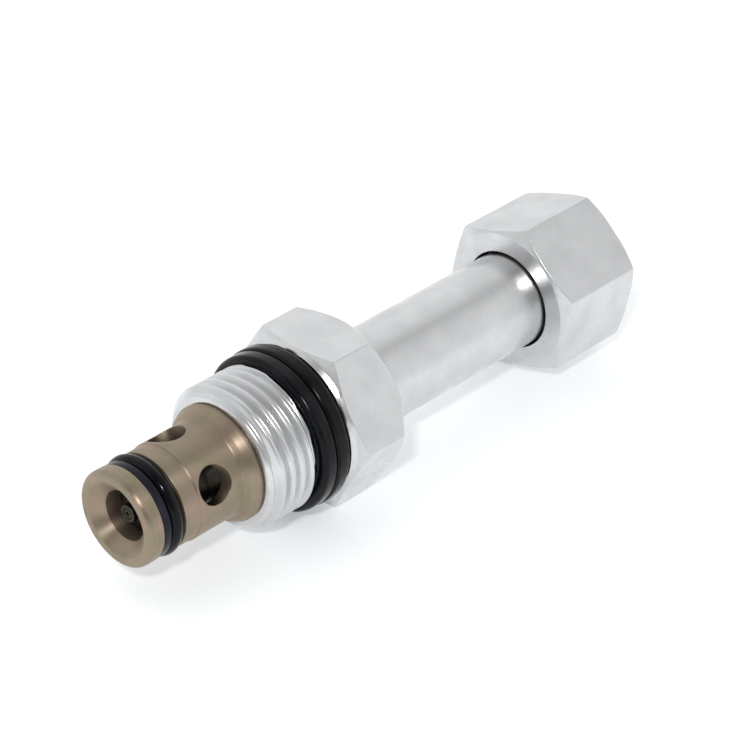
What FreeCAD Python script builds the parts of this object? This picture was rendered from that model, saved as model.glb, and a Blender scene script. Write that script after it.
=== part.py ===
import FreeCAD, Part
import math
import os

# Two-way solenoid cartridge valve, coil not fitted. Millimetres.
# The axis is X, from the nose (-X) to the coil nut (+X). x = 0 is the hex seat face.
# Names ending in _R are radii from the axis, names ending in _X are places along it.

V = FreeCAD.Vector
os.makedirs("parts", exist_ok=True)

# ---- cage: the turned sleeve that goes into the cavity ------------------
NOSE_X = -28.4
NOSE_R = 6.2
NOSE_ROUNDING = 1.25
NOSE_RIM_R = 4.9
THROAT_X = -26.95
THROAT_R = 3.25
SEAT_X = -24.4
GUIDE_R = 4.3
NOSE_GROOVE_X = (-26.34, -23.02)
NOSE_GROOVE_R = 4.55
LAND_END_X = -20.72
WAIST_R = 6.35
WAIST_STEP = 0.15
FLARE_X = (-13.95, -13.45, -12.5)
FLARE_R = 7.05
REAR_R = 7.6
NECK_X = -12.1
NECK_R = 7.35
SHOULDER_X = -11.9
SPIGOT_R = 6.95
CAGE_END_X = 0.4
CAGE_END_CHAMFER = 0.35
CROSS_HOLES = 4
HOLE_R = 2.38
HOLE_X = -17.95
HOLE_ANGLE = 23.5

# ---- hidden seal and lock ring between cage and body --------------------
CAGE_GROOVE_X = (-9.0, -6.9)
CAGE_GROOVE_R = 5.5
LOCK_GROOVE_X = (-11.05, -10.15)
LOCK_GROOVE_R = (6.5, 7.45)
LOCK_WIRE_R = 0.43

# ---- body: threaded adapter with its hex --------------------------------
THREAD_R = 9.42
THREAD_PITCH = 1.5875
THREAD_DEPTH = 0.92
THREAD_CUT_X = (-13.1, -3.9)
THREAD_CUT_START = 90
THREAD_LEAD_R = 8.3
BODY_BORE_R = 7.0
UNDERCUT_X = -4.5
UNDERCUT_R = 8.15
HEX_AF = 21.0
HEX_END_X = 9.2
HEX_FRONT_CONE = [(0.0, 10.1), (0.6, 10.55)]
HEX_REAR_CONE = [(9.2, 9.95)]
HEX_CORNER_X = (1.35, 7.0)
TUBE_HOLE_R = 6.38
TUBE_GROOVE_X = (4.4, 6.4)
TUBE_GROOVE_R = 7.7

# ---- seals outside ------------------------------------------------------
NOSE_ORING = (-24.15, 5.55, 0.92)
NOSE_BACKUP_X = (-26.3, -25.2)
NOSE_BACKUP_R = (4.6, 6.15)
PORT_ORING_X = (-4.45, -2.4)
PORT_ORING_R = (8.2, 10.3)
PORT_ORING_ROUNDING = 0.65
PORT_BACKUP_X = (-2.38, -0.3)
PORT_BACKUP_R = (8.2, 10.45)
PORT_BACKUP_ROUNDING = 0.5

# ---- tube, fixed pole and nut -------------------------------------------
TUBE_R = 6.35
TUBE_BORE_R = 5.55
FLANGE_X = (1.2, 2.6)
TUBE_END_X = 40.4
POLE_R = 5.53
STEM_R = 6.28
STEM_RELIEF_X = (41.0, 42.4)
STEM_RELIEF_R = 5.5
STEM_PITCH = 1.27
STEM_DEPTH = 0.62
STEM_CUT_X = (41.6, 52.0)
STEM_CUT_START = 180
STEM_END_X = 51.2
STEM_CHAMFER = 0.7
CENTRE_MARK = (0.9, 1.1)
NUT_X = (38.9, 52.5)
NUT_AF = 19.05
NUT_TURN = 18.1
NUT_FRONT_CONE = [(38.9, 9.2)]
NUT_REAR_CONE = [(52.5, 9.7)]
NUT_CORNER_X = (39.75, 51.75)
NUT_BORE_R = 6.32
NUT_COUNTERBORE_R = 6.67
NUT_GROOVE_X = (40.2, 41.9)
NUT_GROOVE_R = 7.85
NUT_REAR_CHAMFER = 0.6
NUT_ORING = (41.05, 7.11, 0.7)

# ---- moving pieces inside -----------------------------------------------
ARMATURE_X = (1.5, 21.9)
ARMATURE_R = 5.48
ARMATURE_CHAMFER = 0.38
VENT_SLOT = (1.0, 0.63)
ARMATURE_BORE_R = 0.6
STEM_NOSE_X = -4.5
STEM_NOSE_R = 2.3
POCKET_X = (13.9, 27.0)
POCKET_R = 2.6
POLE_X = 24.0
SHIM_THICK = 0.12
SHIM_R = (2.7, 5.2)
STOP_HOLE_R = 2.55
PIN_X = -2.6
PIN_R = 0.45
PIN_LENGTH = 4.3
FIT_GAP = 0.02
NEEDLE_R = 1.2
NEEDLE_X = (-13.76, -0.6)
NEEDLE_HALF_ANGLE = 30
POPPET_X = (-26.55, -7.0)
POPPET_R = 4.26
POPPET_STEM_R = 3.3
POPPET_HEAD_R = 3.95
POPPET_NOSE_R = 3.0
TIP_R = 1.15
TIP_INSERT_R = 0.65
TIP_INSERT_END_X = -25.2
TIP_HOLE_R = 0.25
PILOT_X = -13.0
PILOT_R = 0.45
POPPET_POCKET_X = -12.6
POPPET_POCKET_R = 2.35
SEAL_RING_GROOVE_X = (-11.6, -10.2)
SEAL_RING_GROOVE_R = 3.5
SEAL_RING_R = (3.55, 4.27)
FEED_HOLE_R = 0.25
FEED_HOLE_OFFSET = 2.92
RETURN_SPRING = (2.0, 0.28, 7)
POPPET_SPRING = (3.35, 0.25, 4)


# ---- helpers ------------------------------------------------------------
def turned(points):
    """A solid of revolution about X from a closed outline of (x, radius) points."""
    wire = Part.makePolygon([V(x, r, 0) for x, r in points + [points[0]]])
    face = Part.Face(wire)
    return face.revolve(V(0, 0, 0), V(1, 0, 0), 360)


def sleeve(x, r):
    """A plain ring between two places along X and two radii."""
    return turned([(x[0], r[0]), (x[0], r[1]), (x[1], r[1]), (x[1], r[0])])


def round_ring(x, centre_r, section_r):
    """A round-section ring about X."""
    return Part.makeTorus(centre_r, section_r, V(x, 0, 0), V(1, 0, 0))


def round_edge(shape, size, x, r):
    """Rounds the circular edge of this radius at this place."""
    chosen = []
    for edge in shape.Edges:
        curve = edge.Curve
        if isinstance(curve, Part.Circle) and abs(curve.Radius - r) < 0.001:
            if abs(curve.Center.x - x) < 0.001:
                chosen.append(edge)
    return shape.makeFillet(size, chosen)


def rounded_band(x, r, rounding):
    """A plain ring with both edges of its outside rounded."""
    band = sleeve(x, r)
    for edge_x in x:
        band = round_edge(band, rounding, edge_x, r[1])
    return band


def hexagon(across_flats, x, first_corner):
    """A hexagonal bar along X. first_corner is the angle of one corner from -Y towards +Z."""
    radius = across_flats / math.sqrt(3)
    points = []
    for i in range(7):
        a = math.radians(first_corner + 60 * i)
        points.append(V(x[0], -radius * math.cos(a), radius * math.sin(a)))
    face = Part.Face(Part.makePolygon(points))
    return face.extrude(V(x[1] - x[0], 0, 0))


def chamfered_hexagon(across_flats, front_cone, corner_x, rear_cone, first_corner):
    """A hexagonal bar whose corners are turned down to cones, given as (x, radius) points."""
    corner_r = across_flats / math.sqrt(3) + FIT_GAP
    x = (front_cone[0][0], rear_cone[-1][0])
    outline = [(x[0], 0.0)] + front_cone + [(corner_x[0], corner_r), (corner_x[1], corner_r)]
    outline += rear_cone + [(x[1], 0.0)]
    return hexagon(across_flats, x, first_corner).common(turned(outline))


def axial_cylinder(radius, x0, x1):
    """A solid cylinder on the axis."""
    return Part.makeCylinder(radius, x1 - x0, V(x0, 0, 0), V(1, 0, 0))


def cross_hole(angle):
    """One round hole through the cage wall, at an angle from -Y towards +Z."""
    a = math.radians(angle)
    outwards = V(0, -math.cos(a), math.sin(a))
    start = V(HOLE_X, 0, 0) + outwards * THROAT_R
    return Part.makeCylinder(HOLE_R, NOSE_R, start, outwards)


def pin_hole():
    """The hole for the cross pin, through the armature's nose and the needle."""
    return Part.makeCylinder(PIN_R + FIT_GAP / 2, 4 * NEEDLE_R + 4, V(PIN_X, 0, -4.4), V(0, 0, 1))


def along_x(shape, x0):
    """Turns a shape built along Z so that it lies along X, starting at x0."""
    lying = shape.copy()
    lying.rotate(V(0, 0, 0), V(0, 1, 0), 90)
    lying.translate(V(x0, 0, 0))
    return lying


def swept(helix, outline):
    """A solid swept along a helix."""
    shell = Part.BRepOffsetAPI.MakePipeShell(helix)
    shell.setFrenetMode(True)
    shell.add(outline)
    shell.build()
    shell.makeSolid()
    return shell.shape()


def thread_cutter(radius, depth, pitch, x, start_angle):
    """The helical vee that leaves a right-hand thread of this outside radius."""
    helix = Part.makeHelix(pitch, x[1] - x[0], radius - depth / 2)
    above = 0.25
    wide = pitch * 0.49
    narrow = pitch * 0.06
    corners = [V(radius + above, 0, -wide), V(radius - depth, 0, -narrow)]
    corners += [V(radius - depth, 0, narrow), V(radius + above, 0, wide)]
    cutter = along_x(swept(helix, Part.makePolygon(corners + [corners[0]])), x[0])
    cutter.rotate(V(0, 0, 0), V(1, 0, 0), start_angle)
    return cutter


def spring(x0, x1, size):
    """An open coil spring between two faces. size is the mean radius, wire radius and coils."""
    mean_r, wire_r, coils = size
    length = x1 - x0 - 2 * wire_r - FIT_GAP
    helix = Part.makeHelix(length / coils, length, mean_r)
    circle = Part.Wire(Part.makeCircle(wire_r, V(mean_r, 0, 0), V(0, 1, 0)))
    return along_x(swept(helix, circle), x0 + wire_r + FIT_GAP / 2)


# ---- cage and its seals -------------------------------------------------
def make_cage():
    front, rear = NOSE_GROOVE_X
    outline = [(NOSE_X, NOSE_RIM_R), (NOSE_X, NOSE_R), (front, NOSE_R), (front, NOSE_GROOVE_R)]
    outline += [(rear, NOSE_GROOVE_R), (rear, NOSE_R), (LAND_END_X, NOSE_R)]
    outline += [(LAND_END_X + WAIST_STEP, WAIST_R), (FLARE_X[0], WAIST_R), (FLARE_X[1], FLARE_R)]
    outline += [(FLARE_X[2], REAR_R)]
    outline += [(NECK_X, REAR_R), (NECK_X, NECK_R), (SHOULDER_X, NECK_R), (SHOULDER_X, SPIGOT_R)]
    outline += [(CAGE_END_X - CAGE_END_CHAMFER, SPIGOT_R), (CAGE_END_X, SPIGOT_R - CAGE_END_CHAMFER)]
    outline += [(CAGE_END_X, GUIDE_R), (SEAT_X + GUIDE_R - THROAT_R, GUIDE_R)]
    outline += [(SEAT_X, THROAT_R), (THROAT_X, THROAT_R)]
    cage = round_edge(turned(outline), NOSE_ROUNDING, NOSE_X, NOSE_R)
    cage = cage.cut(sleeve(LOCK_GROOVE_X, (LOCK_GROOVE_R[0], BODY_BORE_R)))
    cage = cage.cut(sleeve(CAGE_GROOVE_X, (CAGE_GROOVE_R, BODY_BORE_R)))
    for i in range(CROSS_HOLES):
        cage = cage.cut(cross_hole(HOLE_ANGLE + i * 360 / CROSS_HOLES))
    return cage


def make_nose_oring():
    return round_ring(*NOSE_ORING)


def make_nose_backup_ring():
    return sleeve(NOSE_BACKUP_X, NOSE_BACKUP_R)


def make_cage_oring():
    middle_x = sum(CAGE_GROOVE_X) / 2
    section_r = (BODY_BORE_R - CAGE_GROOVE_R) / 2 - FIT_GAP
    return round_ring(middle_x, (BODY_BORE_R + CAGE_GROOVE_R) / 2, section_r)


def make_cage_lock_ring():
    middle_x = sum(LOCK_GROOVE_X) / 2
    wire = round_ring(middle_x, sum(LOCK_GROOVE_R) / 2, LOCK_WIRE_R)
    split = Part.makeBox(2, 2, 4, V(middle_x - 1, -1, LOCK_GROOVE_R[0] - 1))
    return wire.cut(split)


# ---- body and its seals -------------------------------------------------
def make_valve_body():
    lead = THREAD_R - THREAD_LEAD_R
    outline = [(SHOULDER_X, BODY_BORE_R), (SHOULDER_X, THREAD_LEAD_R), (SHOULDER_X + lead, THREAD_R)]
    outline += [(UNDERCUT_X, THREAD_R), (UNDERCUT_X, UNDERCUT_R)]
    outline += [(CAGE_END_X, UNDERCUT_R), (CAGE_END_X, BODY_BORE_R)]
    shank = turned(outline)
    cutter = thread_cutter(THREAD_R, THREAD_DEPTH, THREAD_PITCH, THREAD_CUT_X, THREAD_CUT_START)
    shank = shank.cut(cutter)
    head = chamfered_hexagon(HEX_AF, HEX_FRONT_CONE, HEX_CORNER_X, HEX_REAR_CONE, 0.0)
    head = head.cut(axial_cylinder(BODY_BORE_R, -1.0, FLANGE_X[1]))
    head = head.cut(axial_cylinder(TUBE_HOLE_R, 0.0, HEX_END_X + 1.0))
    body = shank.fuse(head).removeSplitter()
    body = body.cut(sleeve(TUBE_GROOVE_X, (TUBE_R, TUBE_GROOVE_R)))
    return body.cut(sleeve(LOCK_GROOVE_X, (SPIGOT_R, LOCK_GROOVE_R[1])))


def make_port_oring():
    return rounded_band(PORT_ORING_X, PORT_ORING_R, PORT_ORING_ROUNDING)


def make_port_backup_ring():
    return rounded_band(PORT_BACKUP_X, PORT_BACKUP_R, PORT_BACKUP_ROUNDING)


def make_tube_oring():
    middle_x = sum(TUBE_GROOVE_X) / 2
    section_r = (TUBE_GROOVE_R - TUBE_R) / 2 - FIT_GAP
    return round_ring(middle_x, (TUBE_GROOVE_R + TUBE_R) / 2, section_r)


# ---- tube and fixed pole ------------------------------------------------
def make_guide_tube():
    outline = [(FLANGE_X[0], TUBE_BORE_R), (FLANGE_X[0], SPIGOT_R), (FLANGE_X[1], SPIGOT_R)]
    outline += [(FLANGE_X[1], TUBE_R), (TUBE_END_X, TUBE_R), (TUBE_END_X, TUBE_BORE_R)]
    return turned(outline)


def make_armature_stop():
    return sleeve((CAGE_END_X, FLANGE_X[0]), (STOP_HOLE_R, SPIGOT_R - FIT_GAP))


def make_pole_piece():
    outline = [(POLE_X, POCKET_R), (POLE_X, POLE_R), (TUBE_END_X, POLE_R), (TUBE_END_X, STEM_R)]
    outline += [(STEM_RELIEF_X[0], STEM_R), (STEM_RELIEF_X[0], STEM_RELIEF_R)]
    outline += [(STEM_RELIEF_X[1], STEM_RELIEF_R), (STEM_RELIEF_X[1], STEM_R)]
    outline += [(STEM_END_X - STEM_CHAMFER, STEM_R), (STEM_END_X, STEM_R - STEM_CHAMFER)]
    outline += [(STEM_END_X, CENTRE_MARK[0]), (STEM_END_X - CENTRE_MARK[1], 0.0)]
    outline += [(POCKET_X[1], 0.0), (POCKET_X[1], POCKET_R)]
    return turned(outline).cut(thread_cutter(STEM_R, STEM_DEPTH, STEM_PITCH, STEM_CUT_X, STEM_CUT_START))


def make_antiresidual_shim():
    return sleeve((POLE_X - SHIM_THICK, POLE_X), SHIM_R)


# ---- armature group -----------------------------------------------------
def make_armature():
    front, rear = ARMATURE_X
    needle_bore = NEEDLE_R + FIT_GAP
    outline = [(STEM_NOSE_X, needle_bore), (STEM_NOSE_X, STEM_NOSE_R), (front, STEM_NOSE_R)]
    outline += [(front, ARMATURE_R - ARMATURE_CHAMFER), (front + ARMATURE_CHAMFER, ARMATURE_R)]
    outline += [(rear - ARMATURE_CHAMFER, ARMATURE_R), (rear, ARMATURE_R - ARMATURE_CHAMFER)]
    outline += [(rear, POCKET_R), (POCKET_X[0], POCKET_R), (POCKET_X[0], ARMATURE_BORE_R)]
    outline += [(NEEDLE_X[1] + 0.1, ARMATURE_BORE_R), (NEEDLE_X[1] + 0.1, needle_bore)]
    core = turned(outline)
    width, depth = VENT_SLOT
    for side in (-1, 1):
        middle_z = side * ARMATURE_R
        slot = Part.makeBox(rear - front + 2, width, 2 * depth, V(front - 1, -width / 2, middle_z - depth))
        core = core.cut(slot)
    return core.cut(pin_hole())


def make_pilot_needle():
    tip, end = NEEDLE_X
    cone_end = tip + NEEDLE_R / math.tan(math.radians(NEEDLE_HALF_ANGLE))
    needle = turned([(tip, 0.0), (cone_end, NEEDLE_R), (end, NEEDLE_R), (end, 0.0)])
    return needle.cut(pin_hole())


def make_needle_pin():
    return Part.makeCylinder(PIN_R, PIN_LENGTH, V(PIN_X, 0, -PIN_LENGTH / 2), V(0, 0, 1))


def make_return_spring():
    return spring(POCKET_X[0], POCKET_X[1], RETURN_SPRING)


# ---- poppet group -------------------------------------------------------
def make_main_poppet():
    tip, rear = POPPET_X
    cone_r = THROAT_R - FIT_GAP
    head_x = SEAT_X + POPPET_HEAD_R - cone_r
    outline = [(tip, TIP_INSERT_R), (tip, TIP_R - 0.1), (tip + 0.1, TIP_R), (-25.9, TIP_R)]
    outline += [(-24.95, POPPET_NOSE_R), (-24.6, POPPET_NOSE_R), (SEAT_X, cone_r)]
    outline += [(head_x, POPPET_HEAD_R), (head_x + 1, POPPET_HEAD_R), (head_x + 1.5, POPPET_STEM_R)]
    outline += [(-16.6, POPPET_STEM_R), (-15.5, POPPET_R), (rear - 0.2, POPPET_R), (rear, POPPET_R - 0.2)]
    outline += [(rear, POPPET_POCKET_R), (POPPET_POCKET_X, POPPET_POCKET_R), (POPPET_POCKET_X, 2 * PILOT_R)]
    outline += [(PILOT_X, PILOT_R), (TIP_INSERT_END_X, PILOT_R), (TIP_INSERT_END_X, TIP_INSERT_R)]
    poppet = turned(outline)
    poppet = poppet.cut(sleeve(SEAL_RING_GROOVE_X, (SEAL_RING_GROOVE_R, GUIDE_R)))
    feed_start = V(-17.5, -FEED_HOLE_OFFSET, 0)
    return poppet.cut(Part.makeCylinder(FEED_HOLE_R, rear + 18.5, feed_start, V(1, 0, 0)))


def make_tip_orifice():
    return sleeve((POPPET_X[0], TIP_INSERT_END_X), (TIP_HOLE_R, TIP_INSERT_R))


def make_poppet_seal_ring():
    x = (SEAL_RING_GROOVE_X[0] + 0.05, SEAL_RING_GROOVE_X[1] - 0.05)
    return sleeve(x, SEAL_RING_R)


def make_poppet_spring():
    return spring(POPPET_X[1], CAGE_END_X, POPPET_SPRING)


# ---- coil nut -----------------------------------------------------------
def make_coil_nut():
    nut = chamfered_hexagon(NUT_AF, NUT_FRONT_CONE, NUT_CORNER_X, NUT_REAR_CONE, NUT_TURN)
    nut = nut.cut(axial_cylinder(NUT_BORE_R, NUT_X[0] - 1, NUT_X[1] + 1))
    nut = nut.cut(axial_cylinder(NUT_COUNTERBORE_R, NUT_X[0] - 1, NUT_GROOVE_X[1]))
    nut = nut.cut(sleeve(NUT_GROOVE_X, (NUT_BORE_R, NUT_GROOVE_R)))
    entry = [(NUT_X[1] - NUT_REAR_CHAMFER, 0.0), (NUT_X[1] - NUT_REAR_CHAMFER, NUT_BORE_R)]
    entry += [(NUT_X[1] + 1, NUT_BORE_R + NUT_REAR_CHAMFER + 1), (NUT_X[1] + 1, 0.0)]
    return nut.cut(turned(entry))


def make_nut_oring():
    return round_ring(*NUT_ORING)


NODES = {
    "cage": make_cage,
    "nose_oring": make_nose_oring,
    "nose_backup_ring": make_nose_backup_ring,
    "cage_oring": make_cage_oring,
    "cage_lock_ring": make_cage_lock_ring,
    "valve_body": make_valve_body,
    "port_oring": make_port_oring,
    "port_backup_ring": make_port_backup_ring,
    "tube_oring": make_tube_oring,
    "guide_tube": make_guide_tube,
    "armature_stop": make_armature_stop,
    "pole_piece": make_pole_piece,
    "antiresidual_shim": make_antiresidual_shim,
    "armature": make_armature,
    "pilot_needle": make_pilot_needle,
    "needle_pin": make_needle_pin,
    "return_spring": make_return_spring,
    "main_poppet": make_main_poppet,
    "tip_orifice": make_tip_orifice,
    "poppet_seal_ring": make_poppet_seal_ring,
    "poppet_spring": make_poppet_spring,
    "coil_nut": make_coil_nut,
    "nut_oring": make_nut_oring,
}

for name, make in NODES.items():
    solid = make()
    print(name, solid.isValid(), len(solid.Solids), round(solid.Volume, 2))
    solid.exportStep("parts/" + name + ".step")
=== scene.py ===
import math

import bmesh
import bpy
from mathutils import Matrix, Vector


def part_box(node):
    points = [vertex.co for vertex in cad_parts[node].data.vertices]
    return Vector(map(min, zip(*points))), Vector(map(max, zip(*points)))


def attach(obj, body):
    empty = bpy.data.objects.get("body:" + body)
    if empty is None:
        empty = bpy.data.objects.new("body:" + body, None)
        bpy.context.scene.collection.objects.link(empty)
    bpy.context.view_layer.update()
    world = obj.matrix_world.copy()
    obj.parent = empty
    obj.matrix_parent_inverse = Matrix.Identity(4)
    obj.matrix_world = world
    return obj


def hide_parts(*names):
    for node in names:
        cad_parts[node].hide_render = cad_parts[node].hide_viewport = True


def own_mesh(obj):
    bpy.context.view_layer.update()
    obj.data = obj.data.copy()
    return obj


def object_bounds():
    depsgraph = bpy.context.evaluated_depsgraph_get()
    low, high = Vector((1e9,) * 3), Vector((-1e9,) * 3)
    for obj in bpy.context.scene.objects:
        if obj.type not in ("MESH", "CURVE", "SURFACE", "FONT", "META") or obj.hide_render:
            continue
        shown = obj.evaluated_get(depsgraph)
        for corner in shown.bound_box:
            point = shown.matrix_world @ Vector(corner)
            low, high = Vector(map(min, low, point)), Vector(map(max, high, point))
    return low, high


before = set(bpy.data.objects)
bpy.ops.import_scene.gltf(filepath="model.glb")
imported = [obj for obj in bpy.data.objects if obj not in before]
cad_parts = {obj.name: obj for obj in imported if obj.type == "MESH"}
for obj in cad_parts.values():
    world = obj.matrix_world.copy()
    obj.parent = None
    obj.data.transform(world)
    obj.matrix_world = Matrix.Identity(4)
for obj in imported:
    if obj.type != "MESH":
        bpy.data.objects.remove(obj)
cad_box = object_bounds()

# The valve lies along X with one flat of its body's hexagon down. Lengths here are in
# millimetres until a point is made, where MM turns them into Blender's metres. Angles
# about the axis run from +Y towards +Z. A corner of an outline is (x, r), with the radius
# of its rounding and the number of steps in its arc after them where it is rounded. A
# groove is (front x, rear x, floor radius), and a pocket is (bottom x, radius).
MM = 0.001
SEGMENTS = 192
ARC_STEPS = 4
ARC_POINTS = ARC_STEPS + 1
MERGE_GAP = 3e-4
NORMAL_WEIGHT = 60


def edges(node):
    """Lowest and highest x of a node, and its largest radius, in millimetres."""
    low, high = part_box(node)
    return low[0] / MM, high[0] / MM, max(high[1], high[2]) / MM


# ---- sizes read from the frame ------------------------------------------
NOSE_X, CAGE_END_X, REAR_R = edges("cage")
SHOULDER_X, HEX_END_X, _ = edges("valve_body")
NUT_X = edges("coil_nut")[:2]
TUBE_X0, TUBE_END_X, FLANGE_R = edges("guide_tube")
POLE_X, STEM_END_X, STEM_R = edges("pole_piece")
POPPET_X = edges("main_poppet")[:2]

# ---- cage ---------------------------------------------------------------
NOSE_R = 6.2
NOSE_ROUNDING = 1.25
NOSE_RIM_R = 4.9
RIM_ROUNDING = 0.35
THROAT_X = NOSE_X + 1.45
THROAT_R = 3.25
SEAT_X = -24.4
GUIDE_R = 4.3
NOSE_GROOVE = (-26.34, -23.02, 4.55)
LAND_END_X = -20.72
WAIST_R = 6.35
WAIST_X = (LAND_END_X + 0.15, -15.2)
FLARE_X = (-13.95, -13.45, -12.5)
FLARE_R = 7.05
NECK_X = -12.1
NECK_R = 7.35
SPIGOT_R = 6.95
# The lock ring's groove is cut in the cage and in the body, so it has two floors.
LOCK_GROOVE = (-11.05, -10.15, 6.5, 7.45)
CAGE_GROOVE = (-9.0, -6.9, 5.5)
HOLES = 4
HOLE_R = 2.38
HOLE_X = -17.95
HOLE_ANGLE = 156.5
HOLE_EDGE = 0.1
HOLE_BAND_STEPS = 28
OUTER_RINGS = 18
INNER_RINGS = 10

# ---- body ---------------------------------------------------------------
THREAD_R = 9.42
THREAD_PITCH = 1.5875
THREAD_DEPTH = 0.86
THREAD_PHASE = 0.015
# Rows of points in one turn of a thread, and the shares of it that are flat.
THREAD_ROWS = 16
CREST_WIDTH = 0.16
ROOT_WIDTH = 0.12
LEAD_R = 8.35
BODY_BORE_R = 7.0
UNDERCUT_X = -4.5
UNDERCUT_R = 8.15
RUN_OUT_SLOPE = 8.0
HEX_AF = 21.0
HEX_CORNER = 0.0
# A chamfer cone is a list of (x, r) from a hexagon's end face outwards. It ends at the
# corners, at one of the two places in HEX_CORNER_X or NUT_CORNER_X.
HEX_FRONT_CONE = [(0.0, 10.1), (0.6, 10.55)]
HEX_REAR_CONE = [(HEX_END_X, 9.95)]
HEX_CORNER_X = (1.35, 7.0)
CORNER_ROUND = 0.22
CHAMFER_STEP = 0.3
FRONT_EDGE = 0.1
REAR_EDGE = 0.2
PEAK_MARGIN = 0.02
TUBE_HOLE_R = 6.38
TUBE_GROOVE = (4.4, 6.4, 7.7)
FLANGE_END_X = 2.6

# ---- tube, pole piece, stem and nut -------------------------------------
TUBE_R = 6.35
TUBE_BORE_R = 5.55
POLE_R = 5.53
POCKET = (27.0, 2.6)
STEM_RELIEF = (41.0, 42.4, 5.5)
STEM_PITCH = 1.27
STEM_DEPTH = 0.6
STEM_PHASE = 0.3
STEM_CHAMFER = 0.7
STEM_SEGMENTS = 144
CENTRE_R = 1.1
CENTRE_DEPTH = 1.2
NUT_AF = 19.05
NUT_CORNER = 41.9
NUT_FRONT_CONE = [(NUT_X[0], 9.2)]
NUT_REAR_CONE = [(NUT_X[1], 9.7)]
NUT_CORNER_X = (39.75, 51.75)
NUT_COUNTERBORE_R = 6.67
NUT_GROOVE = (40.2, 41.9, 7.85)
THREAD_GAP = 0.05
NUT_ENTRY = 0.5

# ---- seals: (x, ring radius, section radius, flash) or (front x, rear x, inner r, outer r) ----
NOSE_ORING = (-24.15, 5.55, 0.92, 0.012)
NUT_ORING = (41.05, 7.11, 0.7, 0.01)
PORT_ORING = (-4.45, -2.4, 8.2, 10.3)
NOSE_BACKUP = (-26.3, -25.2, 4.6, 6.15)
PORT_BACKUP = (-2.38, -0.3, 8.2, 10.45)

# ---- poppet and its orifice ---------------------------------------------
TIP_R = 1.15
TIP_END_X = -25.9
INSERT_R = 0.65
INSERT_END_X = -25.2
ORIFICE_R = 0.25
POPPET_NOSE_R = 3.0
POPPET_NOSE_X = (-24.95, -24.6)
SEAT_GAP = 0.02
POPPET_HEAD_R = 3.95
POPPET_HEAD_X = (-23.7, -22.7)
POPPET_STEM_R = 3.3
POPPET_STEM_X = (-22.2, -16.6)
POPPET_R = 4.26
POPPET_LAND_X = -15.5
SEAL_RING_X = (-11.6, -10.2)
SEAL_RING_R = 3.5
PILOT_X = -13.0
PILOT_R = 0.45
POPPET_POCKET = (-12.6, 2.35)
POPPET_SEGMENTS = 128
ORIFICE_SEGMENTS = 64

# ---- springs: mean radius, wire radius and coils, and how far each is squeezed ----
RETURN_SPRING = (2.0, 0.28, 7)
POPPET_SPRING = (3.35, 0.25, 4)
ARMATURE_TRAVEL = 1.96
POPPET_TRAVEL = 1.568


# ---- mesh helpers -------------------------------------------------------
def place(x, r, angle):
    """A point at x and radius r, at an angle in radians from +Y towards +Z, in metres."""
    return Vector((x, r * math.cos(angle), r * math.sin(angle))) * MM


def corner_arc(here, before, after, radius, steps):
    """Points of the arc that rounds one corner, no larger than its two sides allow."""
    share_of_side, no_length, straight = 0.48, 1e-6, math.radians(89.5)
    room = min(before.length, after.length) * share_of_side
    if room < no_length:
        return [tuple(here)] * (steps + 1)
    a, b = before.normalized(), after.normalized()
    half = math.acos(max(-1.0, min(1.0, a.dot(b)))) / 2
    if half > straight:
        return [tuple(here)] * (steps + 1)
    reach = min(radius / math.tan(half), room)
    radius = reach * math.tan(half)
    centre = here + (a + b).normalized() * (radius / math.sin(half))
    start = math.atan2(*(here + a * reach - centre).yx)
    end = math.atan2(*(here + b * reach - centre).yx)
    turn = (end - start + math.pi) % math.tau - math.pi
    arc = []
    for k in range(steps + 1):
        angle = start + turn * k / steps
        arc.append((centre.x + radius * math.cos(angle), centre.y + radius * math.sin(angle)))
    return arc


def rounded(outline, closed=True):
    """Replaces each rounded corner of an outline by its arc. An open outline keeps its ends."""
    points = []
    count = len(outline)
    for i, corner in enumerate(outline):
        radius = corner[2] if len(corner) > 2 else 0.0
        steps = corner[3] if len(corner) > 3 else ARC_STEPS
        here = Vector(corner[:2])
        if radius == 0.0 or (not closed and i in (0, count - 1)):
            points.append(tuple(here))
            continue
        before = Vector(outline[i - 1][:2]) - here
        after = Vector(outline[(i + 1) % count][:2]) - here
        points += corner_arc(here, before, after, radius, steps)
    return points


def skin(bm, columns, closed=True, material=None):
    """Joins neighbouring columns of points by quads. material gives the slot of each row."""
    rows = [[bm.verts.new(p) for p in column] for column in columns]
    count = len(columns[0])
    last = count if closed else count - 1
    for left, right in zip(rows, rows[1:]):
        for j in range(last):
            k = (j + 1) % count
            face = bm.faces.new((left[j], left[k], right[k], right[j]))
            if material:
                face.material_index = material(j)


def link(thing):
    """Puts an object in the scene."""
    bpy.context.scene.collection.objects.link(thing)


def mesh_piece(name, build):
    """Makes a smooth-shaded object from the clean mesh that build fills."""
    mesh = bpy.data.meshes.new(name)
    bm = bmesh.new()
    build(bm)
    bmesh.ops.remove_doubles(bm, verts=bm.verts, dist=MERGE_GAP * MM)
    bmesh.ops.recalc_face_normals(bm, faces=bm.faces)
    for face in bm.faces:
        face.smooth = True
    bm.to_mesh(mesh)
    bm.free()
    piece = bpy.data.objects.new(name, mesh)
    link(piece)
    weighted = piece.modifiers.new("even shading", "WEIGHTED_NORMAL")
    weighted.weight = NORMAL_WEIGHT
    return piece


def circle_angles(start=0.0, count=SEGMENTS):
    """Column angles all the way round, the first one repeated at the end."""
    return [math.radians(start) + math.tau * i / count for i in range(count + 1)]


def turned_columns(profile, angles):
    """The same profile at every angle."""
    return [[place(x, r, a) for x, r in profile] for a in angles]


def turned(name, outline, segments=SEGMENTS):
    """A turned piece from a closed outline."""
    columns = turned_columns(rounded(outline), circle_angles(0.0, segments))
    return mesh_piece(name, lambda bm: skin(bm, columns))


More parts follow.
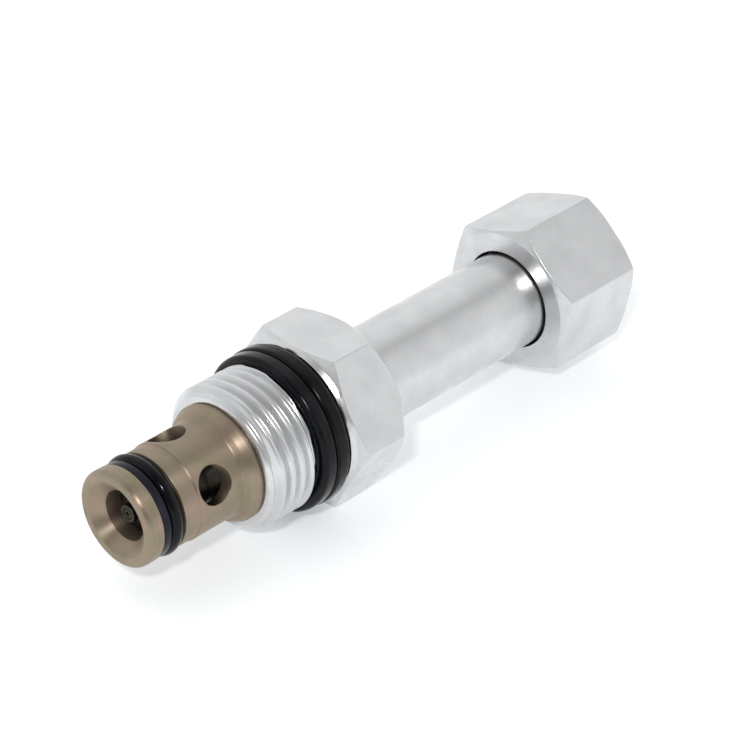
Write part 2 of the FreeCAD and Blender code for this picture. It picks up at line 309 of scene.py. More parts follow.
def round_ring(name, x, centre_r, section_r, flash):
    """A moulded ring of round section, with a faint line left by the mould at its outside."""
    outline = []
    sides, flash_width = 56, 0.07
    for i in range(sides):
        t = math.tau * i / sides
        swell = flash * math.exp(-(((t - math.pi / 2) / flash_width) ** 2))
        r = section_r + swell
        outline.append((x + r * math.cos(t), centre_r + r * math.sin(t)))
    return turned(name, outline)


def hex_tangent(across_flats, corner_round):
    """Angle from a flat's middle to where the round of its corner starts."""
    flat = across_flats / 2
    return math.atan((flat - corner_round) * math.tan(math.pi / 6) / flat)


def hex_radius(across_flats, angle, corner, corner_round):
    """Radius at an angle of a hexagon with rounded corners, one of them at angle corner."""
    sixth = math.pi / 6
    off_corner = abs((angle - corner + sixth) % (2 * sixth) - sixth)
    if sixth - off_corner < hex_tangent(across_flats, corner_round):
        return across_flats / 2 / math.cos(sixth - off_corner)
    hub = (across_flats / 2 - corner_round) / math.cos(sixth)
    across = hub * math.sin(off_corner)
    return hub * math.cos(off_corner) + math.sqrt(corner_round ** 2 - across ** 2)


def hex_angles(across_flats, corner, corner_round, flat_steps=28, corner_steps=4):
    """Column angles round a hexagon: even steps on its flats, close steps on its corners."""
    sixth = math.pi / 6
    tangent = hex_tangent(across_flats, corner_round)
    side = [sixth - tangent + 2 * tangent * i / flat_steps for i in range(flat_steps)]
    for i in range(corner_steps):
        side.append(sixth + tangent + 2 * (sixth - tangent) * i / corner_steps)
    angles = [corner + 2 * sixth * k + a for k in range(6) for a in side]
    return angles + [angles[0] + math.tau]


def cone_crossing(cone, r):
    """x where a cone, given as (x, r) points of growing radius, reaches radius r."""
    for (x0, r0), (x1, r1) in zip(cone, cone[1:]):
        if r <= r1:
            return x0 + (x1 - x0) * max(0.0, (r - r0) / (r1 - r0))
    return cone[-1][0]


def chamfer(cone, corner, r, edge):
    """Outline corners of one end of a chamfered hexagon whose flat lies at radius r."""
    whole = cone + [corner]
    points = []
    for i, (_, end_r) in enumerate(cone):
        here = min(end_r, r - (len(cone) - i) * CHAMFER_STEP)
        points.append((cone_crossing(whole, here), here, edge))
    return points + [(cone_crossing(whole, r), r, edge)]


def hex_outline(front_cone, corner_x, rear_cone, peak_r, r):
    """The outside of a chamfered hexagon in one column, from its front face to its rear."""
    front = chamfer(front_cone, (corner_x[0], peak_r), r, FRONT_EDGE)
    return front + chamfer(rear_cone, (corner_x[1], peak_r), r, REAR_EDGE)[::-1]


def thread_shape(turns):
    """Height of a thread from 0 at its root to 1 at its crest, a crest at each whole turn."""
    off_root = abs((turns % 1.0) - 0.5) * 2
    t = max(0.0, min(1.0, (off_root - ROOT_WIDTH) / (1.0 - CREST_WIDTH - ROOT_WIDTH)))
    softness = 0.6
    return softness * t * t * (3 - 2 * t) + (1 - softness) * t


def thread_column(x, pitch, phase, angle, start, radius):
    """One column of a right-hand thread: (x, r) points between two places along X."""
    lead = (angle - start) / math.tau
    turns = math.ceil((x[1] - x[0]) / pitch) + 1
    points = []
    for j in range(turns * THREAD_ROWS + 1):
        along = x[0] + pitch * (j / THREAD_ROWS - 1 + lead)
        here = max(x[0], min(x[1], along))
        height = thread_shape(here / pitch - angle / math.tau + phase)
        points.append((here, radius(here, height)))
    return points


# ---- cage ---------------------------------------------------------------
def sector_border(x, angle_steps, x_steps):
    """Border points (angle from the hole, x) of the quarter of the cage round one hole."""
    half = math.pi / HOLES
    border = [(-half + 2 * half * i / angle_steps, x[0]) for i in range(angle_steps)]
    border += [(half, x[0] + (x[1] - x[0]) * i / x_steps) for i in range(x_steps)]
    border += [(half - 2 * half * i / angle_steps, x[1]) for i in range(angle_steps)]
    border += [(-half, x[1] + (x[0] - x[1]) * i / x_steps) for i in range(x_steps)]
    return border


def hole_point(spoke, rho, wall_r):
    """Angle from the hole's middle and x of a point of the wall at rho from the hole's axis."""
    return math.asin(rho * math.cos(spoke) / wall_r), HOLE_X + rho * math.sin(spoke)


def holed_patch(bm, centre, border, spokes, wall_r, rings):
    """A round wall from the rim of one cross hole out to the border of its quarter."""
    columns = []
    for (side, x), spoke in zip(border, spokes):
        rim_side, rim_x = hole_point(spoke, HOLE_R + HOLE_EDGE, wall_r)
        column = []
        for k in range(rings + 1):
            t = k / rings
            angle = centre + rim_side + (side - rim_side) * t
            column.append(place(rim_x + (x - rim_x) * t, wall_r, angle))
        columns.append(column)
    skin(bm, columns + [columns[0]], closed=False)


def hole_end(centre, spoke, wall_r, inwards, steps=4):
    """The small round where a cross hole meets a wall of the cage."""
    up = Vector((0, math.cos(centre), math.sin(centre)))
    across = Vector((0, -math.sin(centre), math.cos(centre)))
    rim = wall_r * math.cos(hole_point(spoke, HOLE_R + HOLE_EDGE, wall_r)[0])
    points = []
    for k in range(steps + 1):
        turn = math.pi / 2 * k / steps
        rho = HOLE_R + HOLE_EDGE * (1 - math.sin(turn))
        height = rim + inwards * HOLE_EDGE * (1 - math.cos(turn))
        along = Vector((HOLE_X + rho * math.sin(spoke), 0, 0))
        points.append((along + up * height + across * rho * math.cos(spoke)) * MM)
    return points


def hole_wall(bm, centre, spokes):
    """The wall of one cross hole between the outside and the bore."""
    columns = []
    for spoke in spokes:
        outer = hole_end(centre, spoke, WAIST_R, -1)
        inner = hole_end(centre, spoke, GUIDE_R, 1)
        columns.append(outer + inner[::-1])
    skin(bm, columns + [columns[0]], closed=False)


def cage_rear(x):
    """Outline of the cage behind its holes, from the outside round to the bore."""
    lock_x0, lock_x1, lock_r, _ = LOCK_GROOVE
    seal_x0, seal_x1, seal_r = CAGE_GROOVE
    outline = [(x, WAIST_R), (FLARE_X[0], WAIST_R, 0.35, 6), (FLARE_X[1], FLARE_R, 0.2, 6)]
    outline += [(FLARE_X[2], REAR_R, 0.15), (NECK_X, REAR_R, 0.1)]
    outline += [(NECK_X, NECK_R, 0.05), (SHOULDER_X, NECK_R), (SHOULDER_X, SPIGOT_R)]
    outline += [(lock_x0, SPIGOT_R), (lock_x0, lock_r), (lock_x1, lock_r), (lock_x1, SPIGOT_R)]
    outline += [(seal_x0, SPIGOT_R), (seal_x0, seal_r), (seal_x1, seal_r), (seal_x1, SPIGOT_R)]
    return outline + [(CAGE_END_X, SPIGOT_R, 0.3), (CAGE_END_X, GUIDE_R, 0.15), (x, GUIDE_R)]


def cage_front(x):
    """Outline of the cage in front of its holes, from the bore round the nose to the outside."""
    front_x, rear_x, groove_r = NOSE_GROOVE
    outline = [(x, GUIDE_R), (SEAT_X + GUIDE_R - THROAT_R, GUIDE_R), (SEAT_X, THROAT_R)]
    outline += [(THROAT_X, THROAT_R, 0.06), (NOSE_X, NOSE_RIM_R, RIM_ROUNDING, 8)]
    outline += [(NOSE_X, NOSE_R, NOSE_ROUNDING, 12)]
    outline += [(front_x, NOSE_R, 0.1), (front_x, groove_r, 0.12), (rear_x, groove_r, 0.12)]
    outline += [(rear_x, NOSE_R, 0.1), (LAND_END_X, NOSE_R, 0.05)]
    return outline + [(WAIST_X[0], WAIST_R, 0.04), (x, WAIST_R)]


def build_cage(bm):
    """The cage: turned ends, and between them one holed quarter for each cross hole."""
    step_margin = 0.06
    band = (WAIST_X[0] + step_margin, WAIST_X[1])
    angles = circle_angles(HOLE_ANGLE - 180 / HOLES)
    for outline in (cage_rear(band[1]), cage_front(band[0])):
        skin(bm, turned_columns(rounded(outline, False), angles), closed=False)
    border = sector_border(band, SEGMENTS // HOLES, HOLE_BAND_STEPS)
    spokes = [math.atan2(x - HOLE_X, WAIST_R * side) for side, x in border]
    for i in range(HOLES):
        centre = math.radians(HOLE_ANGLE + 360 * i / HOLES)
        holed_patch(bm, centre, border, spokes, WAIST_R, OUTER_RINGS)
        holed_patch(bm, centre, border, spokes, GUIDE_R, INNER_RINGS)
        hole_wall(bm, centre, spokes)


# ---- body ---------------------------------------------------------------
def body_thread_radius(x, height):
    """Radius of the body's thread, with its chamfered start and its run-out."""
    thread = THREAD_R - THREAD_DEPTH * (1 - height)
    lead_in = LEAD_R + x - SHOULDER_X
    run_out = UNDERCUT_R + RUN_OUT_SLOPE * (UNDERCUT_X - x)
    return min(thread, lead_in, run_out)


def body_head(r):
    """Outline of the body from its undercut round the hexagon and back through the bore."""
    peak_r = HEX_AF / math.sqrt(3) + PEAK_MARGIN
    seal_x0, seal_x1, seal_r = TUBE_GROOVE
    lock_x0, lock_x1, _, lock_r = LOCK_GROOVE
    outline = [(UNDERCUT_X, UNDERCUT_R), (0.0, UNDERCUT_R, 0.1)]
    outline += hex_outline(HEX_FRONT_CONE, HEX_CORNER_X, HEX_REAR_CONE, peak_r, r)
    outline += [(HEX_END_X, TUBE_HOLE_R, 0.2), (seal_x1, TUBE_HOLE_R), (seal_x1, seal_r)]
    outline += [(seal_x0, seal_r), (seal_x0, TUBE_HOLE_R), (FLANGE_END_X, TUBE_HOLE_R)]
    outline += [(FLANGE_END_X, BODY_BORE_R), (lock_x1, BODY_BORE_R), (lock_x1, lock_r)]
    outline += [(lock_x0, lock_r), (lock_x0, BODY_BORE_R), (SHOULDER_X, BODY_BORE_R, 0.15)]
    return outline + [(SHOULDER_X, LEAD_R)]


def build_body(bm):
    """The body: a threaded shank, then the head. The row of the flats has its own slot."""
    angles = hex_angles(HEX_AF, HEX_CORNER, CORNER_ROUND)
    span = (SHOULDER_X, UNDERCUT_X)
    columns = []
    for a in angles:
        thread = thread_column(span, THREAD_PITCH, THREAD_PHASE, a, angles[0], body_thread_radius)
        flat_r = hex_radius(HEX_AF, a, HEX_CORNER, CORNER_ROUND)
        head = rounded(body_head(flat_r), False)[1:-1]
        columns.append([place(x, r, a) for x, r in thread + head])
    flat_row = len(thread) + ARC_POINTS * (len(HEX_FRONT_CONE) + 2) - 1
    skin(bm, columns, material=lambda j: 1 if j == flat_row else 0)


# ---- nut ----------------------------------------------------------------
def nut_thread_radius(x, height):
    """The nut's thread is the gap left round the stem's, so it is deep where that is high."""
    thread = STEM_R + THREAD_GAP - STEM_DEPTH * (1 - height)
    entry = STEM_R + THREAD_GAP + NUT_ENTRY - (NUT_X[1] - x)
    return max(thread, entry)


def build_nut(bm):
    """The nut: its counterbore and outside, then its thread back from the rear face."""
    corner = math.radians(NUT_CORNER)
    peak_r = NUT_AF / math.sqrt(3) + PEAK_MARGIN
    groove_x0, groove_x1, groove_r = NUT_GROOVE
    angles = hex_angles(NUT_AF, corner, CORNER_ROUND)
    span = (groove_x1, NUT_X[1])
    columns = []
    for a in angles:
        thread = thread_column(span, STEM_PITCH, STEM_PHASE, a, angles[0], nut_thread_radius)
        r = hex_radius(NUT_AF, a, corner, CORNER_ROUND)
        outside = hex_outline(NUT_FRONT_CONE, NUT_CORNER_X, NUT_REAR_CONE, peak_r, r)
        groove = [(groove_x1, groove_r), (groove_x0, groove_r), (groove_x0, NUT_COUNTERBORE_R)]
        mouth = [(NUT_X[0], NUT_COUNTERBORE_R, 0.12)]
        outline = groove + mouth + outside + [(NUT_X[1], thread[-1][1])]
        profile = rounded(outline, False)[:-1]
        columns.append([place(x, r, a) for x, r in profile + thread[::-1]])
    flat_row = len(groove) + ARC_POINTS * (len(NUT_FRONT_CONE) + 2) - 1
    skin(bm, columns, material=lambda j: 1 if j == flat_row else 0)


# ---- pole piece ---------------------------------------------------------
def stem_thread_radius(x, height):
    """Radius of the stem's thread, chamfered at both ends."""
    thread = STEM_R - STEM_DEPTH * (1 - height)
    start = STEM_RELIEF[2] + (x - STEM_RELIEF[1])
    end = STEM_R - STEM_CHAMFER + (STEM_END_X - x)
    return min(thread, start, end)


def build_pole(bm):
    """The pole piece: its pocket and outside, the stem's thread and the centre in its end."""
    angles = circle_angles(0.0, STEM_SEGMENTS)
    relief_x0, relief_x1, relief_r = STEM_RELIEF
    pocket_x, pocket_r = POCKET
    span = (relief_x1, STEM_END_X)
    before = [(pocket_x, 0.0), (pocket_x, pocket_r), (POLE_X, pocket_r, 0.2)]
    before += [(POLE_X, POLE_R, 0.2), (TUBE_END_X, POLE_R), (TUBE_END_X, STEM_R, 0.1)]
    before += [(relief_x0, STEM_R, 0.1), (relief_x0, relief_r, 0.2), (relief_x1, relief_r)]
    end = [(STEM_END_X, STEM_R - STEM_CHAMFER), (STEM_END_X, CENTRE_R, 0.05)]
    end += [(STEM_END_X - CENTRE_DEPTH, 0.0)]
    columns = []
    for a in angles:
        thread = thread_column(span, STEM_PITCH, STEM_PHASE, a, angles[0], stem_thread_radius)
        profile = rounded(before, False)[:-1] + thread + rounded(end, False)[1:]
        columns.append([place(x, r, a) for x, r in profile])
    skin(bm, columns, closed=False)


# ---- materials ----------------------------------------------------------
def add_node(tree, kind, inputs=None, **settings):
    """Adds a shader node. An input that is a socket is linked, and any other is set."""
    node = tree.nodes.new(kind)
    for key, value in settings.items():
        setattr(node, key, value)
    for key, value in (inputs or {}).items():
        if isinstance(value, bpy.types.NodeSocket):
            tree.links.new(value, node.inputs[key])
        else:
            node.inputs[key].default_value = value
    return node


def add_math(tree, operation, a, b):
    """The result of an operation on two numbers or sockets."""
    return add_node(tree, "ShaderNodeMath", {0: a, 1: b}, operation=operation).outputs[0]


class Shading:
    """A material's node tree, with a few calls that keep the node code short."""

    def __init__(self, name, color, metallic, roughness):
        self.material = bpy.data.materials.new(name)
        self.material.use_nodes = True
        self.tree = self.material.node_tree
        self.shader = self.tree.nodes["Principled BSDF"]
        self.set("Base Color", (*color, 1.0))
        self.set("Metallic", metallic)
        self.set("Roughness", roughness)
        self.coords = self.add("ShaderNodeTexCoord").outputs["Object"]

    def set(self, socket, value):
        """Sets one value on the shader itself."""
        self.shader.inputs[socket].default_value = value

    def connect(self, socket, value):
        """Links a node's output to the shader."""
        self.tree.links.new(value, self.shader.inputs[socket])

    def add(self, kind, inputs=None, **settings):
        """A node in this material's tree."""
        return add_node(self.tree, kind, inputs, **settings)

    def math(self, operation, a, b):
        """The result of an operation in this material's tree."""
        return add_math(self.tree, operation, a, b)

    def remap(self, value, low, high, new_low, new_high):
        """Maps low to high onto new_low to new_high, and clamps what lies outside."""
        inputs = {"Value": value, "From Min": low, "From Max": high}
        inputs |= {"To Min": new_low, "To Max": new_high}
        return self.add("ShaderNodeMapRange", inputs).outputs["Result"]

    def stretched(self, factors):
        """The piece's own coordinates, multiplied along X, Y and Z."""
        inputs = {0: self.coords, 1: factors}
        return self.add("ShaderNodeVectorMath", inputs, operation="MULTIPLY").outputs[0]

    def noise(self, scale, detail=3.0, rough=0.55, vector=None):
        """Noise in three dimensions. scale is in cells per metre."""
        inputs = {"Vector": vector or self.coords, "Scale": scale}
        inputs |= {"Detail": detail, "Roughness": rough}
        return self.add("ShaderNodeTexNoise", inputs).outputs["Fac"]

    def turning(self, scale, detail=3.0):
        """Noise that changes along a turned profile and not round the axis."""
        parts = self.add("ShaderNodeSeparateXYZ", {0: self.coords}).outputs
        flat = self.add("ShaderNodeCombineXYZ", {"Y": parts["Y"], "Z": parts["Z"]}).outputs[0]
        radius = self.add("ShaderNodeVectorMath", {0: flat}, operation="LENGTH").outputs["Value"]
        along = self.math("MULTIPLY", self.math("ADD", parts["X"], radius), scale)
        inputs = {"W": along, "Scale": 1.0, "Detail": detail}
        return self.add("ShaderNodeTexNoise", inputs, noise_dimensions="1D").outputs["Fac"]

    def mix(self, factor, a, b):
        """Mixes two colours, each a triple or a socket."""
        node = self.add("ShaderNodeMix", data_type="RGBA")
        for socket, value in ((node.inputs[6], a), (node.inputs[7], b)):
            if isinstance(value, bpy.types.NodeSocket):
                self.tree.links.new(value, socket)
            else:
                socket.default_value = (*value, 1.0)
        self.tree.links.new(factor, node.inputs[0])
        return node.outputs[2]

    def bump(self, height, strength, distance):
        """Fine relief. distance is in metres."""
        inputs = {"Height": height, "Strength": strength, "Distance": distance}
        self.connect("Normal", self.add("ShaderNodeBump", inputs).outputs["Normal"])

    def turned_gloss(self, anisotropy):
        """Highlights stretched across marks that run round the axis."""
        self.set("Anisotropic", anisotropy)
        self.set("Anisotropic Rotation", 0.25)
        tangent = self.add("ShaderNodeTangent", direction_type="RADIAL", axis="X").outputs[0]
        self.connect("Tangent", tangent)


def zinc(name, light, dark, turned_marks):
    """Satin zinc plating: pale, slightly cloudy, over turned or drawn steel."""
    m = Shading(name, light, metallic=1.0, roughness=0.3)
    clouds = m.noise(260.0, detail=4.0)
    grain = m.noise(3500.0)
    m.connect("Base Color", m.mix(m.remap(clouds, 0.35, 0.65, 0.0, 1.0), light, dark))
    if turned_marks:
        marks = m.turning(5000.0)
    else:
        marks = m.noise(2600.0, vector=m.stretched((0.08, 1.0, 1.0)))
    cloud_gloss = m.remap(clouds, 0.3, 0.7, 0.24, 0.36)
    mark_gloss = m.remap(marks, 0.3, 0.7, -0.03, 0.03)
    m.connect("Roughness", m.math("ADD", cloud_gloss, mark_gloss))
    height = m.math("ADD", m.math("MULTIPLY", marks, 0.4), m.math("MULTIPLY", grain, 0.6))
    m.bump(height, strength=0.12, distance=0.00001)
    return m.material


def cage_metal():
    """Turned steel with a bronze heat tint that drifts from straw to rose."""
    straw, rose, olive = (0.33, 0.275, 0.20), (0.36, 0.27, 0.21), (0.27, 0.25, 0.165)
    m = Shading("cage steel", straw, metallic=1.0, roughness=0.4)
    drift = m.remap(m.noise(170.0, detail=2.0), 0.38, 0.62, 0.0, 1.0)
    patches = m.remap(m.noise(420.0), 0.45, 0.7, 0.0, 0.8)
    m.connect("Base Color", m.mix(patches, m.mix(drift, straw, rose), olive))
    fine = m.turning(11000.0)
    broad = m.turning(2600.0, detail=2.0)
    m.connect("Roughness", m.remap(broad, 0.3, 0.7, 0.42, 0.5))
    m.turned_gloss(0.75)
    height = m.math("ADD", m.math("MULTIPLY", fine, 0.6), m.math("MULTIPLY", broad, 0.6))
    m.bump(height, strength=0.5, distance=0.00002)
    return m.material


def plain_steel(name, color, roughness):
    """Machined steel of the inner pieces."""
    m = Shading(name, color, metallic=1.0, roughness=roughness)
    marks = m.turning(8000.0)
    shade = m.remap(m.noise(300.0), 0.35, 0.65, 0.0, 1.0)
    darkening = 0.82
    darker = tuple(c * darkening for c in color)
    m.connect("Base Color", m.mix(shade, color, darker))
    m.connect("Roughness", m.remap(marks, 0.3, 0.7, roughness - 0.06, roughness + 0.08))
    m.bump(marks, strength=0.3, distance=0.00001)
    return m.material


def rubber(name, color, roughness):
    """Moulded seal rubber with a thin film of oil and a few dull smears."""
    m = Shading(name, color, metallic=0.0, roughness=roughness)
    smears = m.noise(500.0, detail=4.0, rough=0.6, vector=m.stretched((1.0, 0.5, 0.5)))
    grain = m.noise(14000.0, detail=2.0)
    gain, haze = 2.2, 0.004
    lighter = tuple(c * gain + haze for c in color)
    m.connect("Base Color", m.mix(m.remap(smears, 0.5, 0.75, 0.0, 1.0), color, lighter))
    m.connect("Roughness", m.remap(smears, 0.35, 0.7, roughness - 0.04, roughness + 0.12))
    m.set("Specular IOR Level", 0.16)
    m.bump(grain, strength=0.12, distance=0.000008)
    return m.material


ZINC_LIGHT, ZINC_DARK = (0.68, 0.684, 0.692), (0.617, 0.621, 0.627)
zinc_turned = zinc("zinc on turned steel", ZINC_LIGHT, ZINC_DARK, True)
zinc_flats = zinc("zinc on drawn flats", ZINC_LIGHT, ZINC_DARK, False)
steel_cage = cage_metal()
steel_core = plain_steel("core steel", (0.52, 0.52, 0.51), 0.3)
steel_hard = plain_steel("hard steel", (0.36, 0.35, 0.33), 0.28)
# The poppet and its orifice sit deep in the cage and show only through the cross holes and the
# throat. This steel's colour is darkened nearly to black as painted shade for those dim hollows.
steel_painted_shade = plain_steel("steel darkened as painted shade", (0.055, 0.051, 0.043), 0.4)
steel_spring = plain_steel("spring steel", (0.45, 0.45, 0.46), 0.25)
brass = plain_steel("shim brass", (0.75, 0.58, 0.26), 0.3)
rubber_black = rubber("black rubber", (0.0025, 0.003, 0.0042), 0.14)
rubber_nose = rubber("nose seal rubber", (0.0025, 0.0029, 0.0046), 0.14)
rubber_rear = rubber("black rubber rear", (0.0032, 0.0028, 0.0036), 0.15)
plastic_backup = rubber("backup ring plastic", (0.009, 0.0085, 0.016), 0.26)
plastic_seal = rubber("seal plastic", (0.30, 0.24, 0.16), 0.45)


# ---- pieces that replace CAD nodes --------------------------------------
def dress(piece, materials, body, nodes):
    """Gives a piece its materials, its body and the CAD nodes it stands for."""
    for material in materials:
        piece.data.materials.append(material)
    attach(piece, body)
    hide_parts(*nodes)


def square_ring(name, size, roundings):
    """A ring of four-sided section, its corners in order from the inner front to the inner rear."""
    x0, x1, inner_r, outer_r = size
    corners = [(x0, inner_r), (x0, outer_r), (x1, outer_r), (x1, inner_r)]
    return turned(name, [corner + rounding for corner, rounding in zip(corners, roundings)])


def add_outside():
    """The metal pieces that show: cage, body, nut and the pole piece with its stem."""
    cage = mesh_piece("cage_turned", build_cage)
    dress(cage, [steel_cage], "valve_body", ["cage"])
    body = mesh_piece("body_threaded", build_body)
    dress(body, [zinc_turned, zinc_flats], "valve_body", ["valve_body"])
    nut = mesh_piece("nut_hex", build_nut)
    dress(nut, [zinc_turned, zinc_flats], "coil_nut", ["coil_nut"])
    pole = mesh_piece("pole_and_stem", build_pole)
    dress(pole, [steel_core], "valve_body", ["pole_piece"])


def add_seals():
    """The rings that show at the nose, at the port and in the nut."""
    ring = round_ring("nose_oring_moulded", *NOSE_ORING)
    dress(ring, [rubber_nose], "valve_body", ["nose_oring"])
    ring = square_ring("port_oring_moulded", PORT_ORING, [(0.5,), (0.7, 10), (0.4, 8), (0.2,)])
    dress(ring, [rubber_black], "valve_body", ["port_oring"])
    ring = round_ring("nut_oring_moulded", *NUT_ORING)
    dress(ring, [rubber_black], "nut_carrier", ["nut_oring"])
    ring = square_ring("nose_backup_cut", NOSE_BACKUP, [(0.05,), (0.15,), (0.12,), (0.05,)])
    dress(ring, [plastic_backup], "valve_body", ["nose_backup_ring"])
    ring = square_ring("port_backup_moulded", PORT_BACKUP, [(0.1,), (0.5, 8), (0.6, 8), (0.1,)])
    dress(ring, [rubber_rear], "valve_body", ["port_backup_ring"])


def add_tube():
    """The guide tube, with the flange that holds it in the body."""
    outline = [(TUBE_X0, TUBE_BORE_R, 0.1), (TUBE_X0, FLANGE_R, 0.15)]
    outline += [(FLANGE_END_X, FLANGE_R, 0.15), (FLANGE_END_X, TUBE_R, 0.1)]
    outline += [(TUBE_END_X, TUBE_R, 0.15), (TUBE_END_X, TUBE_BORE_R, 0.1)]
    tube = turned("tube_drawn", outline)
    dress(tube, [zinc_turned], "valve_body", ["guide_tube"])


def add_poppet():
    """The poppet with its groove and pocket, and the orifice pressed into its tip."""
    tip_x, rear_x = POPPET_X
    nose_x0, nose_x1 = POPPET_NOSE_X
    head_x0, head_x1 = POPPET_HEAD_X
    stem_x0, stem_x1 = POPPET_STEM_X
    groove_x0, groove_x1 = SEAL_RING_X
    pocket_x, pocket_r = POPPET_POCKET
    outline = [(tip_x, INSERT_R), (tip_x, TIP_R, 0.12), (TIP_END_X, TIP_R, 0.1)]
    outline += [(nose_x0, POPPET_NOSE_R, 0.15), (nose_x1, POPPET_NOSE_R, 0.1)]
    outline += [(SEAT_X, THROAT_R - SEAT_GAP), (head_x0, POPPET_HEAD_R, 0.1)]
    outline += [(head_x1, POPPET_HEAD_R, 0.2), (stem_x0, POPPET_STEM_R, 0.3)]
    outline += [(stem_x1, POPPET_STEM_R, 0.4), (POPPET_LAND_X, POPPET_R, 0.2)]
    outline += [(groove_x0, POPPET_R, 0.05), (groove_x0, SEAL_RING_R), (groove_x1, SEAL_RING_R)]
    outline += [(groove_x1, POPPET_R, 0.05), (rear_x, POPPET_R, 0.2), (rear_x, pocket_r, 0.1)]
    outline += [(pocket_x, pocket_r), (pocket_x, 2 * PILOT_R), (PILOT_X, PILOT_R)]
    outline += [(INSERT_END_X, PILOT_R), (INSERT_END_X, INSERT_R)]
    poppet = turned("poppet_turned", outline, POPPET_SEGMENTS)
    dress(poppet, [steel_painted_shade], "poppet", ["main_poppet"])
    outline = [(tip_x, ORIFICE_R, 0.06), (tip_x, INSERT_R)]
    outline += [(INSERT_END_X, INSERT_R), (INSERT_END_X, ORIFICE_R)]
    orifice = turned("orifice_turned", outline, ORIFICE_SEGMENTS)
    dress(orifice, [steel_painted_shade], "poppet", ["tip_orifice"])


def coil(name, x0, x1, mean_r, wire_r, turns, sides=16, steps=48):
    """An open coil spring of round wire between two faces."""
    columns = []
    count = turns * steps
    rim = [math.tau * j / sides for j in range(sides)]
    section = [(wire_r * math.sin(t), mean_r + wire_r * math.cos(t)) for t in rim]
    for i in range(count + 1):
        x = x0 + wire_r + (x1 - x0 - 2 * wire_r) * i / count
        turn = math.tau * i / steps
        columns.append([place(x + off_x, r, turn) for off_x, r in section])

    def build(bm):
        """The wire and its two flat ends."""
        skin(bm, columns)
        for end in (columns[0], columns[-1]):
            bm.faces.new([bm.verts.new(point) for point in end])

    return mesh_piece(name, build)


def add_spring(name, node, size):
    """A coil spring that fills the length of a CAD spring node, with its own mesh, and takes that
    node's place.
    """
    x0, x1, _ = edges(node)
    spring = coil(name, x0, x1, *size)
    dress(spring, [steel_spring], "valve_body", [node])
    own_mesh(spring)


def finish_inner_nodes():
    """Inner CAD nodes stay as they are and get their materials."""
    materials = {
        "cage_oring": rubber_black,
        "tube_oring": rubber_black,
        "cage_lock_ring": steel_spring,
        "armature_stop": steel_core,
        "antiresidual_shim": brass,
        "armature": steel_core,
        "pilot_needle": steel_hard,
        "needle_pin": steel_hard,
        "poppet_seal_ring": plastic_seal,
    }
    for node, material in materials.items():
        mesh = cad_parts[node].data
        mesh.materials.clear()
        mesh.materials.append(material)


def add_springs():
    """The armature's spring and the poppet's."""
    size, travel = RETURN_SPRING, ARMATURE_TRAVEL
    add_spring("return_spring_coiled", "return_spring", size)
    size, travel = POPPET_SPRING, POPPET_TRAVEL
    add_spring("poppet_spring_coiled", "poppet_spring", size)


add_outside()
add_seals()
add_tube()
add_poppet()
add_springs()
finish_inner_nodes()


# ---- floor, light and camera --------------------------------------------
FLOOR_Z = cad_box[0][2] / MM
FLOOR_HALF = 3000.0
FLOOR_WHITE = (0.82, 0.82, 0.82)
FLOOR_ROUGHNESS = 0.7
GLOW = (0.93, 0.97, 1.0)
GLOW_STRENGTH = 0.37
WHITE = (1.0, 1.0, 1.0)
SKY_TINT = (0.985, 0.995, 1.0)
# Brightness of the studio by its angle in degrees round the valve's axis, from the -Y
# horizon over the top to the +Y horizon.
SKY = ((0, 0.96), (20, 0.95), (53, 0.85), (66, 0.74), (78, 0.57), (90, 0.75), (102, 0.9))
SKY += ((118, 0.98), (140, 1.04), (180, 1.0))
# The same studio from its -X end to its +X end, by the x of a direction.
SKY_ENDS = ((-0.7, 0.85), (0.1, 1.0), (0.7, 1.0), (0.95, 1.4))
# The dark opening that the camera looks through, and the light left by how near to it,
# as a cosine, a direction comes.
OPENING = (-0.603, -0.583, 0.545)
OPENING_FADE = ((0.55, 1.0), (0.9, 0.35))
# The key lamp's distance and size are in metres and its power in watts.
KEY_DIRECTION = (-0.59, -0.45, 0.67)
KEY_DISTANCE = 0.6
KEY_SIZE = 0.045
KEY_POWER = 1.35
SUBJECT = Vector((8.0, 0.0, 0.0)) * MM
CAMERA_PLACE = Vector((-195.63, -202.71, 190.36)) * MM
CAMERA_AIM = Vector((0.6027, 0.5814, -0.5465))
CAMERA_LENS = 135.1
CAMERA_CLIP = 0.01


def add_floor():
    """A white table that glows a little, so that it stays white round the valve."""
    mesh = bpy.data.meshes.new("floor")
    half = FLOOR_HALF
    corners = [(-half, -half), (half, -half), (half, half), (-half, half)]
    mesh.from_pydata([Vector((x, y, FLOOR_Z)) * MM for x, y in corners], [], [(0, 1, 2, 3)])
    floor = bpy.data.objects.new("floor", mesh)
    link(floor)
    paper = Shading("white table", FLOOR_WHITE, metallic=0.0, roughness=FLOOR_ROUGHNESS)
    paper.set("Emission Color", (*GLOW, 1.0))
    paper.set("Emission Strength", GLOW_STRENGTH)
    mesh.materials.append(paper.material)


def color_ramp(tree, value, levels, tint):
    """A smooth ramp through (position, level) pairs in one tint."""
    ramp = add_node(tree, "ShaderNodeValToRGB", {0: value})
    ramp.color_ramp.interpolation = "EASE"
    points = ramp.color_ramp.elements
    while len(points) < len(levels):
        points.new(0.5)
    for point, (position, level) in zip(points, levels):
        point.position = position
        point.color = (*[level * t for t in tint], 1.0)
    return ramp.outputs[0]


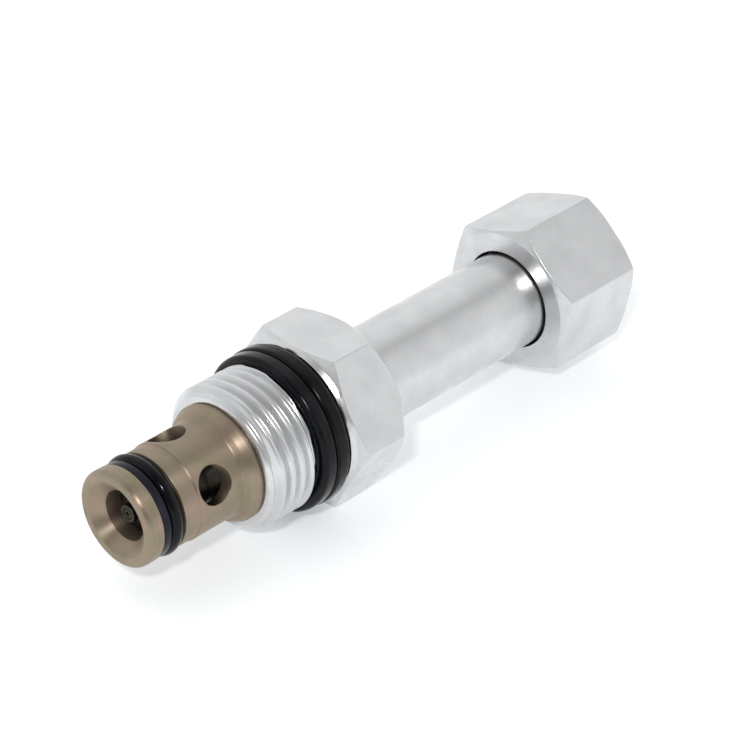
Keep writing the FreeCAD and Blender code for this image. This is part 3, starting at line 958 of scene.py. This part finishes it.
def add_sky():
    """A soft white studio whose brightness turns about the X axis, like long lamps beside it."""
    world = bpy.data.worlds.new("studio")
    bpy.context.scene.world = world
    world.use_nodes = True
    tree = world.node_tree
    way = add_node(tree, "ShaderNodeTexCoord").outputs["Generated"]
    parts = add_node(tree, "ShaderNodeSeparateXYZ", {0: way}).outputs
    turn = add_math(tree, "ARCTAN2", parts["Z"], add_math(tree, "MULTIPLY", parts["Y"], -1.0))
    half_turns = add_math(tree, "DIVIDE", turn, math.pi)
    around = color_ramp(tree, half_turns, [(angle / 180, level) for angle, level in SKY], SKY_TINT)
    reach = add_node(tree, "ShaderNodeMapRange", {"Value": parts["X"], "From Min": -1.0})
    ends = [((x + 1) / 2, level) for x, level in SKY_ENDS]
    lengthways = color_ramp(tree, reach.outputs["Result"], ends, WHITE)
    inputs = {0: way, 1: OPENING}
    nearness = add_node(tree, "ShaderNodeVectorMath", inputs, operation="DOT_PRODUCT")
    opening = color_ramp(tree, nearness.outputs["Value"], OPENING_FADE, WHITE)
    background = tree.nodes["Background"]
    tree.links.new(around, background.inputs["Color"])
    strength = add_math(tree, "MULTIPLY", lengthways, opening)
    tree.links.new(strength, background.inputs["Strength"])


def add_key_lamp():
    """A small square lamp that faces the valve from near the camera."""
    lamp = bpy.data.lights.new("key", "AREA")
    lamp.energy = KEY_POWER
    lamp.size = KEY_SIZE
    holder = bpy.data.objects.new("key", lamp)
    direction = Vector(KEY_DIRECTION)
    holder.location = SUBJECT + direction.normalized() * KEY_DISTANCE
    holder.rotation_euler = direction.to_track_quat("Z", "Y").to_euler()
    link(holder)


def add_camera():
    """The camera that takes the photo's view."""
    camera = bpy.data.cameras.new("camera")
    camera.lens = CAMERA_LENS
    camera.clip_start = CAMERA_CLIP
    holder = bpy.data.objects.new("camera", camera)
    holder.location = CAMERA_PLACE
    holder.rotation_euler = CAMERA_AIM.to_track_quat("-Z", "Y").to_euler()
    link(holder)
    bpy.context.scene.camera = holder


add_floor()
add_sky()
add_key_lamp()
add_camera()
bpy.context.scene.view_settings.view_transform = "Standard"
